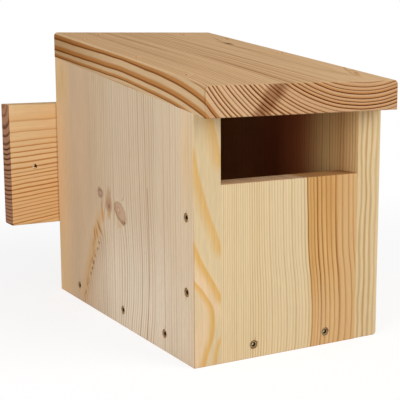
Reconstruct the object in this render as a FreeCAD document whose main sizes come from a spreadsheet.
"""Half-open bird nest box: six boards, a wall batten behind them, and the countersunk screws in them.

Frame: millimetres, +Z up, the entrance looks along -Y and the wall batten stands at the +Y end.
The origin is the centre of the whole object's footprint, on the plane that the box stands on.
"""
import FreeCAD, Part
import os
import Sketcher

PARTS_FOLDER = "parts"

# How near a point lies to a plane that it counts as being on.
ON_PLANE = 1e-4

# Driving dimensions: name, value in millimetres, meaning.
SIZES = [
    ("box_width", 150.0, "outer width over both side boards, and the roof's width"),
    ("box_depth", 240.0, "depth of the side boards, front to back"),
    ("side_height_front", 166.0, "height of a side board at the entrance"),
    ("side_height_back", 198.5, "height of a side board at the back"),
    ("side_thickness", 20.0, "side board"),
    ("entrance_height", 46.5, "opening over the front board, up to the side boards' front height"),
    ("front_thickness", 20.0, "front board"),
    ("back_thickness", 20.0, "back board"),
    ("floor_thickness", 20.0, "floor board"),
    ("roof_thickness", 20.0, "roof board, square to its face"),
    ("roof_overhang", 17.0, "roof board beyond the side boards, in front"),
    ("roof_edge_radius", 3.0, "rounded long upper edges of the roof board"),
    ("batten_height", 101.0, "wall batten, up the wall"),
    ("batten_thickness", 20.0, "wall batten, wall to box"),
    ("batten_base", 59.0, "lower edge of the wall batten above the box's base"),
    ("batten_ear", 41.0, "wall batten beyond the box, each side"),
    ("batten_edge_radius", 1.5, "rounded long edges of the wall batten"),
    ("wall_hole_diameter", 4.0, "hole for a wall screw in each ear"),
    ("wall_hole_drop", 1.5, "wall holes below the batten's middle height"),
    ("arris_radius", 0.8, "eased sharp edges of the boards"),
    ("corner_radius", 2.5, "worn lower outer edge of the right side board"),
    ("screw_length", 40.0, "screw, head to tip"),
    ("screw_head_diameter", 6.0, "countersunk head"),
    ("screw_shank_diameter", 2.2, "plain shank under the head"),
    ("screw_thread_diameter", 3.0, "over the thread's crests"),
    ("screw_thread_length", 24.0, "threaded length, with the tip"),
    ("screw_tip_length", 4.0, "pointed tip"),
    ("screw_sink", 0.4, "head below the wood's surface"),
    ("screw_hole_clearance", 0.15, "radial room round the thread in the board under the head"),
    ("recess_core_diameter", 2.0, "star recess, between its lobes"),
    ("recess_lobe_diameter", 0.74, "one lobe of the star recess"),
    ("recess_lobe_reach", 1.0, "lobe's centre from the screw's axis"),
    ("recess_depth", 1.2, "star recess"),
    ("screw_row_gap", 0.2, "clear height between screws that cross inside the floor board"),
    ("floor_screw_front", 42.5, "side-to-floor screws: first one behind the sides' front edge"),
    ("floor_screw_middle", 9.0, "side-to-floor screws: second one ahead of the sides' middle"),
    ("floor_screw_rear", 43.0, "side-to-floor screws: third one ahead of the sides' back edge"),
    ("floor_screw_rise", 2.4, "side-to-floor screws above the floor board's middle"),
    ("front_screw_lower", 49.0, "side-to-front screws: lower one above the base"),
    ("front_screw_upper", 21.0, "side-to-front screws: upper one below the entrance's lip"),
    ("end_screw_inset", 25.5, "front-to-floor and back-to-floor screws from the side boards"),
    ("roof_screw_front", 24.0, "roof-to-side screws: first one behind the sides' front edge"),
    ("roof_screw_middle_left", 16.5, "left roof-to-side screws: second one ahead of the sides' middle"),
    ("roof_screw_middle_right", 5.0, "right roof-to-side screws: second one ahead of the sides' middle"),
    ("roof_screw_rear", 41.0, "roof-to-side screws: third one ahead of the sides' back edge"),
    ("roof_back_screw_inset", 16.5, "roof-to-back screws from the side boards"),
    ("batten_screw_inset", 25.0, "batten-to-side screws from the batten's long edges"),
]

doc = FreeCAD.newDocument("nest_box")
sheet = doc.addObject("Spreadsheet::Sheet", "sizes")
for row, (alias, value, meaning) in enumerate(SIZES, start=1):
    sheet.set(f"A{row}", meaning)
    sheet.set(f"B{row}", str(value))
    sheet.setAlias(f"B{row}", alias)
doc.recompute()

# Derived places, written in the sheet's own names.
SLOPE = "(sizes.side_height_back - sizes.side_height_front) / sizes.box_depth"
PITCH = f"atan({SLOPE})"
INNER_WIDTH = "sizes.box_width - 2 * sizes.side_thickness"
LEFT_X = "-sizes.box_width / 2"
INNER_LEFT_X = f"{LEFT_X} + sizes.side_thickness"
RIGHT_X = "sizes.box_width / 2"
INNER_RIGHT_X = f"({RIGHT_X} - sizes.side_thickness)"
SIDE_MID_X = "(sizes.box_width - sizes.side_thickness) / 2"
FRONT_Y = "(sizes.roof_overhang - sizes.box_depth - sizes.batten_thickness) / 2"
BACK_Y = f"{FRONT_Y} + sizes.box_depth"
WALL_Y = f"{BACK_Y} + sizes.batten_thickness"
LIP_HEIGHT = "sizes.side_height_front - sizes.entrance_height"
FLOOR_DEPTH = "sizes.box_depth - sizes.front_thickness - sizes.back_thickness"
ROOF_LENGTH = "(sizes.box_depth + sizes.roof_overhang)"
ROOF_RISE = f"{ROOF_LENGTH} * {SLOPE}"
ROOF_PLUMB = f"sizes.roof_thickness / cos({PITCH})"
BATTEN_LENGTH = "sizes.box_width + 2 * sizes.batten_ear"
WALL_HOLE_X = "(sizes.box_width + sizes.batten_ear) / 2"
WALL_HOLE_Z = "sizes.batten_base + sizes.batten_height / 2 - sizes.wall_hole_drop"


def number(expression):
    """Value of an expression on the sheet, as a plain number."""
    result = sheet.evalExpression(expression)
    return float(getattr(result, "Value", result))


def datum(body, role):
    """Plane or axis of a body's own origin."""
    return next(feature for feature in body.Origin.OriginFeatures if feature.Role == role)


def place(piece, x, y, z):
    """Bind a piece's place to the sheet."""
    piece.setExpression("Placement.Base.x", x)
    piece.setExpression("Placement.Base.y", y)
    piece.setExpression("Placement.Base.z", z)


def outline(body, name, role, corners):
    """Closed outline of straight edges on an origin plane; each corner is a pair of expressions."""
    sketch = body.newObject("Sketcher::SketchObject", name)
    sketch.AttachmentSupport = [(datum(body, role), "")]
    sketch.MapMode = "FlatFace"
    points = [FreeCAD.Vector(number(across), number(up), 0) for across, up in corners]
    count = len(points)
    for index, start in enumerate(points):
        sketch.addGeometry(Part.LineSegment(start, points[(index + 1) % count]))
    for index in range(count):
        sketch.addConstraint(Sketcher.Constraint("Coincident", index, 2, (index + 1) % count, 1))
    for index, (across, up) in enumerate(corners):
        for kind, expression, value in (
            ("DistanceX", across, points[index].x),
            ("DistanceY", up, points[index].y),
        ):
            tie = sketch.addConstraint(Sketcher.Constraint(kind, -1, 1, index, 1, value))
            sketch.setExpression(f"Constraints[{tie}]", expression)
    return sketch


def circle(body, name, role, across, up, radius):
    """One circle on an origin plane, its centre and radius bound to the sheet."""
    sketch = body.newObject("Sketcher::SketchObject", name)
    sketch.AttachmentSupport = [(datum(body, role), "")]
    sketch.MapMode = "FlatFace"
    centre = FreeCAD.Vector(number(across), number(up), 0)
    sketch.addGeometry(Part.Circle(centre, FreeCAD.Vector(0, 0, 1), number(radius)))
    ties = [
        (Sketcher.Constraint("DistanceX", -1, 1, 0, 3, centre.x), across),
        (Sketcher.Constraint("DistanceY", -1, 1, 0, 3, centre.y), up),
        (Sketcher.Constraint("Radius", 0, number(radius)), radius),
    ]
    for constraint, expression in ties:
        tie = sketch.addConstraint(constraint)
        sketch.setExpression(f"Constraints[{tie}]", expression)
    return sketch


def board(name, section, width):
    """Blank of a board: a section in the YZ plane, carried across X."""
    body = doc.addObject("PartDesign::Body", f"{name}_blank")
    pad = body.newObject("PartDesign::Pad", f"{name}_pad")
    pad.Profile = outline(body, f"{name}_section", "YZ_Plane", section)
    pad.setExpression("Length", width)
    doc.recompute()
    return body


def ease(body, radius, chosen):
    """Round those edges of a blank whose middle point passes the test."""
    base = body.Tip
    names = [
        f"Edge{index}"
        for index, edge in enumerate(base.Shape.Edges, start=1)
        if chosen(edge.valueAt((edge.FirstParameter + edge.LastParameter) / 2))
    ]
    fillet = body.newObject("PartDesign::Fillet", f"{body.Name}_ease")
    fillet.Base = (base, names)
    fillet.setExpression("Radius", radius)
    doc.recompute()


def near(value, target):
    """Whether a coordinate lies on a plane of the blank."""
    return abs(value - target) < ON_PLANE


def revolved(name, profile):
    """Solid of revolution about Z from a profile of radius and height expressions."""
    body = doc.addObject("PartDesign::Body", name)
    turn = body.newObject("PartDesign::Revolution", f"{name}_turn")
    sketch = outline(body, f"{name}_profile", "XZ_Plane", profile)
    turn.Profile = sketch
    turn.ReferenceAxis = (sketch, ["V_Axis"])
    turn.Angle = 360.0
    doc.recompute()
    return body


def side_board(name, outer_x, foot_radius=None):
    """Blank of a side board, sloped along its top, with its outer edges eased.

    A foot radius rounds the lower outer edge first, while its ends are still sharp, so that the large
    rounding stops there and does not run on round the board's ends.
    """
    section = [
        ("0", "0"),
        ("sizes.box_depth", "0"),
        ("sizes.box_depth", "sizes.side_height_back"),
        ("0", "sizes.side_height_front"),
    ]
    body = board(name, section, "sizes.side_thickness")
    depth = number("sizes.box_depth")
    if foot_radius is not None:
        ease(body, foot_radius, lambda middle: near(middle.x, outer_x) and near(middle.z, 0))
    ease(
        body,
        "sizes.arris_radius",
        lambda middle: near(middle.x, outer_x) and (near(middle.y, 0) or near(middle.y, depth)),
    )
    return body


def screw_pattern():
    """The screw that all the others are copies of; its own +Z is the way it is driven in."""
    head = "sizes.screw_head_diameter / 2"
    shank = "sizes.screw_shank_diameter / 2"
    thread = "sizes.screw_thread_diameter / 2"
    end = "sizes.screw_sink + sizes.screw_length"
    thread_start = f"{end} - sizes.screw_thread_length"
    body = revolved("screw_pattern", [
        ("0", "sizes.screw_sink"),
        (head, "sizes.screw_sink"),
        (shank, f"sizes.screw_sink + {head} - {shank}"),
        (shank, f"{thread_start} - ({thread} - {shank})"),
        (thread, thread_start),
        (thread, f"{end} - sizes.screw_tip_length"),
        ("0", end),
    ])
    cuts = []
    for name, reach, radius in (
        ("recess_core", "0", "sizes.recess_core_diameter / 2"),
        ("recess_lobe", "sizes.recess_lobe_reach", "sizes.recess_lobe_diameter / 2"),
    ):
        pocket = body.newObject("PartDesign::Pocket", name)
        pocket.Profile = circle(body, f"{name}_circle", "XY_Plane", reach, "0", radius)
        pocket.Reversed = True
        pocket.setExpression("Length", "sizes.screw_sink + sizes.recess_depth")
        doc.recompute()
        cuts.append(pocket)
    star = body.newObject("PartDesign::PolarPattern", "recess_star")
    star.Originals = [cuts[-1]]
    star.Axis = (datum(body, "Z_Axis"), [""])
    star.Angle = 360.0
    star.Occurrences = 6
    body.Tip = star
    doc.recompute()
    return body


def screw_bore(name, outer_thickness):
    """Space that one screw takes up: its head sunk, loose in the outer board, tight in the next one."""
    head = "sizes.screw_head_diameter / 2"
    thread = "sizes.screw_thread_diameter / 2"
    loose = f"{thread} + sizes.screw_hole_clearance"
    end = "sizes.screw_sink + sizes.screw_length"
    return revolved(name, [
        ("0", "0"),
        (head, "0"),
        (head, "sizes.screw_sink"),
        (loose, f"sizes.screw_sink + {head} - ({loose})"),
        (loose, outer_thickness),
        (thread, outer_thickness),
        (thread, f"{end} - sizes.screw_tip_length"),
        ("0", end),
    ])


def copy_of(pattern, name):
    """Another piece of the same make, with a place of its own."""
    body = doc.addObject("PartDesign::Body", name)
    base = doc.addObject("PartDesign::FeatureBase", f"{name}_copy")
    base.BaseFeature = pattern
    body.Group = [base]
    body.Tip = base
    return body


# Side boards; the right one's lower outer edge is knocked round.
left_side = side_board("left_side", 0.0)
place(left_side, LEFT_X, FRONT_Y, "0")
right_side = side_board("right_side", number("sizes.side_thickness"), "sizes.corner_radius")
place(right_side, f"{RIGHT_X} - sizes.side_thickness", FRONT_Y, "0")

# Front board, between the sides; its top is the entrance's lip.
front_board = board(
    "front_board",
    [
        ("0", "0"),
        ("sizes.front_thickness", "0"),
        ("sizes.front_thickness", LIP_HEIGHT),
        ("0", LIP_HEIGHT),
    ],
    INNER_WIDTH,
)
lip_height = number(LIP_HEIGHT)
lip_middle = number(INNER_WIDTH) / 2
ease(
    front_board,
    "sizes.arris_radius",
    lambda middle: near(middle.z, lip_height) and near(middle.x, lip_middle),
)
place(front_board, INNER_LEFT_X, FRONT_Y, "0")

# Back board, between the sides, bevelled along its top to meet the roof.
back_board = board(
    "back_board",
    [
        ("0", "0"),
        ("sizes.back_thickness", "0"),
        ("sizes.back_thickness", "sizes.side_height_back"),
        ("0", f"sizes.side_height_back - sizes.back_thickness * {SLOPE}"),
    ],
    INNER_WIDTH,
)
place(back_board, INNER_LEFT_X, f"{BACK_Y} - sizes.back_thickness", "0")

# Floor board, between the sides, the front and the back.
floor_board = board(
    "floor_board",
    [
        ("0", "0"),
        (FLOOR_DEPTH, "0"),
        (FLOOR_DEPTH, "sizes.floor_thickness"),
        ("0", "sizes.floor_thickness"),
    ],
    INNER_WIDTH,
)
place(floor_board, INNER_LEFT_X, f"{FRONT_Y} + sizes.front_thickness", "0")

# Roof board: flush with the sides and the back, cut plumb at both ends, overhanging in front.
roof_board = board(
    "roof_board",
    [
        ("0", "0"),
        (ROOF_LENGTH, ROOF_RISE),
        (ROOF_LENGTH, f"{ROOF_RISE} + {ROOF_PLUMB}"),
        ("0", ROOF_PLUMB),
    ],
    "sizes.box_width",
)
roof_middle_z = number(f"{ROOF_RISE} / 2 + {ROOF_PLUMB}")
roof_width = number("sizes.box_width")
ease(
    roof_board,
    "sizes.roof_edge_radius",
    lambda middle: near(middle.z, roof_middle_z) and (near(middle.x, 0) or near(middle.x, roof_width)),
)
ease(
    roof_board,
    "sizes.arris_radius",
    lambda middle: near(middle.y, 0) and near(middle.x, roof_width / 2),
)
place(
    roof_board,
    LEFT_X,
    f"{FRONT_Y} - sizes.roof_overhang",
    f"sizes.side_height_front - sizes.roof_overhang * {SLOPE}",
)

# Wall batten: a cross board behind the box, with an ear at each side.
wall_batten = board(
    "wall_batten",
    [
        ("0", "0"),
        ("sizes.batten_thickness", "0"),
        ("sizes.batten_thickness", "sizes.batten_height"),
        ("0", "sizes.batten_height"),
    ],
    BATTEN_LENGTH,
)
batten_middle = number(BATTEN_LENGTH) / 2
ease(wall_batten, "sizes.batten_edge_radius", lambda middle: near(middle.x, batten_middle))
place(wall_batten, f"{LEFT_X} - sizes.batten_ear", BACK_Y, "sizes.batten_base")

blanks = {
    "left_side": left_side,
    "right_side": right_side,
    "front_board": front_board,
    "back_board": back_board,
    "floor_board": floor_board,
    "roof_board": roof_board,
    "wall_batten": wall_batten,
}
cutters = {name: [] for name in blanks}

# Wall screw holes through the batten's ears.
for name, sign in (("wall_hole_left", "-"), ("wall_hole_right", "")):
    hole = doc.addObject("Part::Cylinder", name)
    hole.setExpression("Radius", "sizes.wall_hole_diameter / 2")
    hole.setExpression("Height", "sizes.batten_thickness")
    hole.Placement.Rotation = FreeCAD.Rotation(FreeCAD.Vector(1, 0, 0), 90)
    place(hole, f"{sign}{WALL_HOLE_X}", WALL_Y, WALL_HOLE_Z)
    cutters["wall_batten"].append(hole)

# Screws: name, point on the outer surface, the way they are driven, outer board and next board.
X_AXIS = FreeCAD.Vector(1, 0, 0)
Y_AXIS = FreeCAD.Vector(0, 1, 0)
RIGHTWARDS = (Y_AXIS, "90 deg")
LEFTWARDS = (Y_AXIS, "-90 deg")
BACKWARDS = (X_AXIS, "-90 deg")
FORWARDS = (X_AXIS, "90 deg")
THROUGH_ROOF = (X_AXIS, f"180 deg + {PITCH}")
MIDDLE_Y = f"{FRONT_Y} + sizes.box_depth / 2"
SIDE_ROW_Z = "sizes.floor_thickness / 2 + sizes.floor_screw_rise"
END_ROW_Z = f"{SIDE_ROW_Z} - sizes.screw_thread_diameter - sizes.screw_row_gap"
FLOOR_SCREW_Y = {
    "front": f"{FRONT_Y} + sizes.floor_screw_front",
    "middle": f"{MIDDLE_Y} - sizes.floor_screw_middle",
    "rear": f"{BACK_Y} - sizes.floor_screw_rear",
}
FRONT_SCREW_Z = {
    "lower": "sizes.front_screw_lower",
    "upper": f"{LIP_HEIGHT} - sizes.front_screw_upper",
}
BATTEN_SCREW_Z = {
    "lower": "sizes.batten_base + sizes.batten_screw_inset",
    "upper": "sizes.batten_base + sizes.batten_height - sizes.batten_screw_inset",
}
screws = []

for side, surface_x, way in (("left", LEFT_X, RIGHTWARDS), ("right", RIGHT_X, LEFTWARDS)):
    for spot, y in FLOOR_SCREW_Y.items():
        point = (surface_x, y, SIDE_ROW_Z)
        screws.append((f"{side}_floor_screw_{spot}", point, way, f"{side}_side", "floor_board"))
    for spot, z in FRONT_SCREW_Z.items():
        point = (surface_x, f"{FRONT_Y} + sizes.front_thickness / 2", z)
        screws.append((f"{side}_front_screw_{spot}", point, way, f"{side}_side", "front_board"))

for end, surface_y, way in (("front", FRONT_Y, BACKWARDS), ("back", BACK_Y, FORWARDS)):
    for side, sign in (("left", "-"), ("right", "")):
        point = (f"{sign}({INNER_RIGHT_X} - sizes.end_screw_inset)", surface_y, END_ROW_Z)
        screws.append((f"{end}_floor_screw_{side}", point, way, f"{end}_board", "floor_board"))


def on_roof(x, behind_front):
    """Point on the roof's upper face, square above the sides' top at a distance behind their front."""
    y = f"{FRONT_Y} + {behind_front} - sizes.roof_thickness * sin({PITCH})"
    z = f"sizes.side_height_front + ({behind_front}) * {SLOPE} + sizes.roof_thickness * cos({PITCH})"
    return (x, y, z)


for side, sign in (("left", "-"), ("right", "")):
    for spot, behind_front in (
        ("front", "sizes.roof_screw_front"),
        ("middle", f"sizes.box_depth / 2 - sizes.roof_screw_middle_{side}"),
        ("rear", "sizes.box_depth - sizes.roof_screw_rear"),
    ):
        point = on_roof(f"{sign}{SIDE_MID_X}", behind_front)
        screws.append((f"roof_{side}_screw_{spot}", point, THROUGH_ROOF, "roof_board", f"{side}_side"))
    back_x = f"{sign}({INNER_RIGHT_X} - sizes.roof_back_screw_inset)"
    point = on_roof(back_x, "sizes.box_depth - sizes.back_thickness / 2")
    screws.append((f"roof_back_screw_{side}", point, THROUGH_ROOF, "roof_board", "back_board"))
    for spot, z in BATTEN_SCREW_Z.items():
        point = (f"{sign}{SIDE_MID_X}", WALL_Y, z)
        screws.append((f"batten_{side}_screw_{spot}", point, FORWARDS, "wall_batten", f"{side}_side"))

THICKNESS = {
    "left_side": "sizes.side_thickness",
    "right_side": "sizes.side_thickness",
    "front_board": "sizes.front_thickness",
    "back_board": "sizes.back_thickness",
    "roof_board": "sizes.roof_thickness",
    "wall_batten": "sizes.batten_thickness",
}
pattern = screw_pattern()
pieces = []
for name, point, (axis, angle), outer, inner in screws:
    screw = copy_of(pattern, name)
    bore = screw_bore(f"{name}_bore", THICKNESS[outer])
    for piece in (screw, bore):
        piece.Placement.Rotation = FreeCAD.Rotation(axis, number(angle))
        piece.setExpression("Placement.Rotation.Angle", angle)
        place(piece, *point)
    cutters[outer].append(bore)
    cutters[inner].append(bore)
    pieces.append(screw)

# Boards with their holes.
for name, blank in blanks.items():
    holes = doc.addObject("Part::Compound", f"{name}_holes")
    holes.Links = cutters[name]
    drilled = doc.addObject("Part::Cut", name)
    drilled.Base = blank
    drilled.Tool = holes
    pieces.append(drilled)
doc.recompute()

# Nothing is written unless every object is sound.
for item in doc.Objects:
    faults = [state for state in item.State if state in ("Invalid", "Error")]
    if faults:
        raise RuntimeError(f"{item.Name}: {faults}")
for piece in pieces:
    piece.Label = piece.Name
    if piece.Shape.isNull() or not piece.Shape.isValid() or len(piece.Shape.Solids) != 1:
        raise RuntimeError(f"{piece.Name}: not one sound solid")

os.makedirs(PARTS_FOLDER, exist_ok=True)
for piece in pieces:
    piece.Shape.exportStep(os.path.join(PARTS_FOLDER, f"{piece.Label}.step"))
    print(f"{piece.Label}: {piece.Shape.Volume:.1f} mm3")
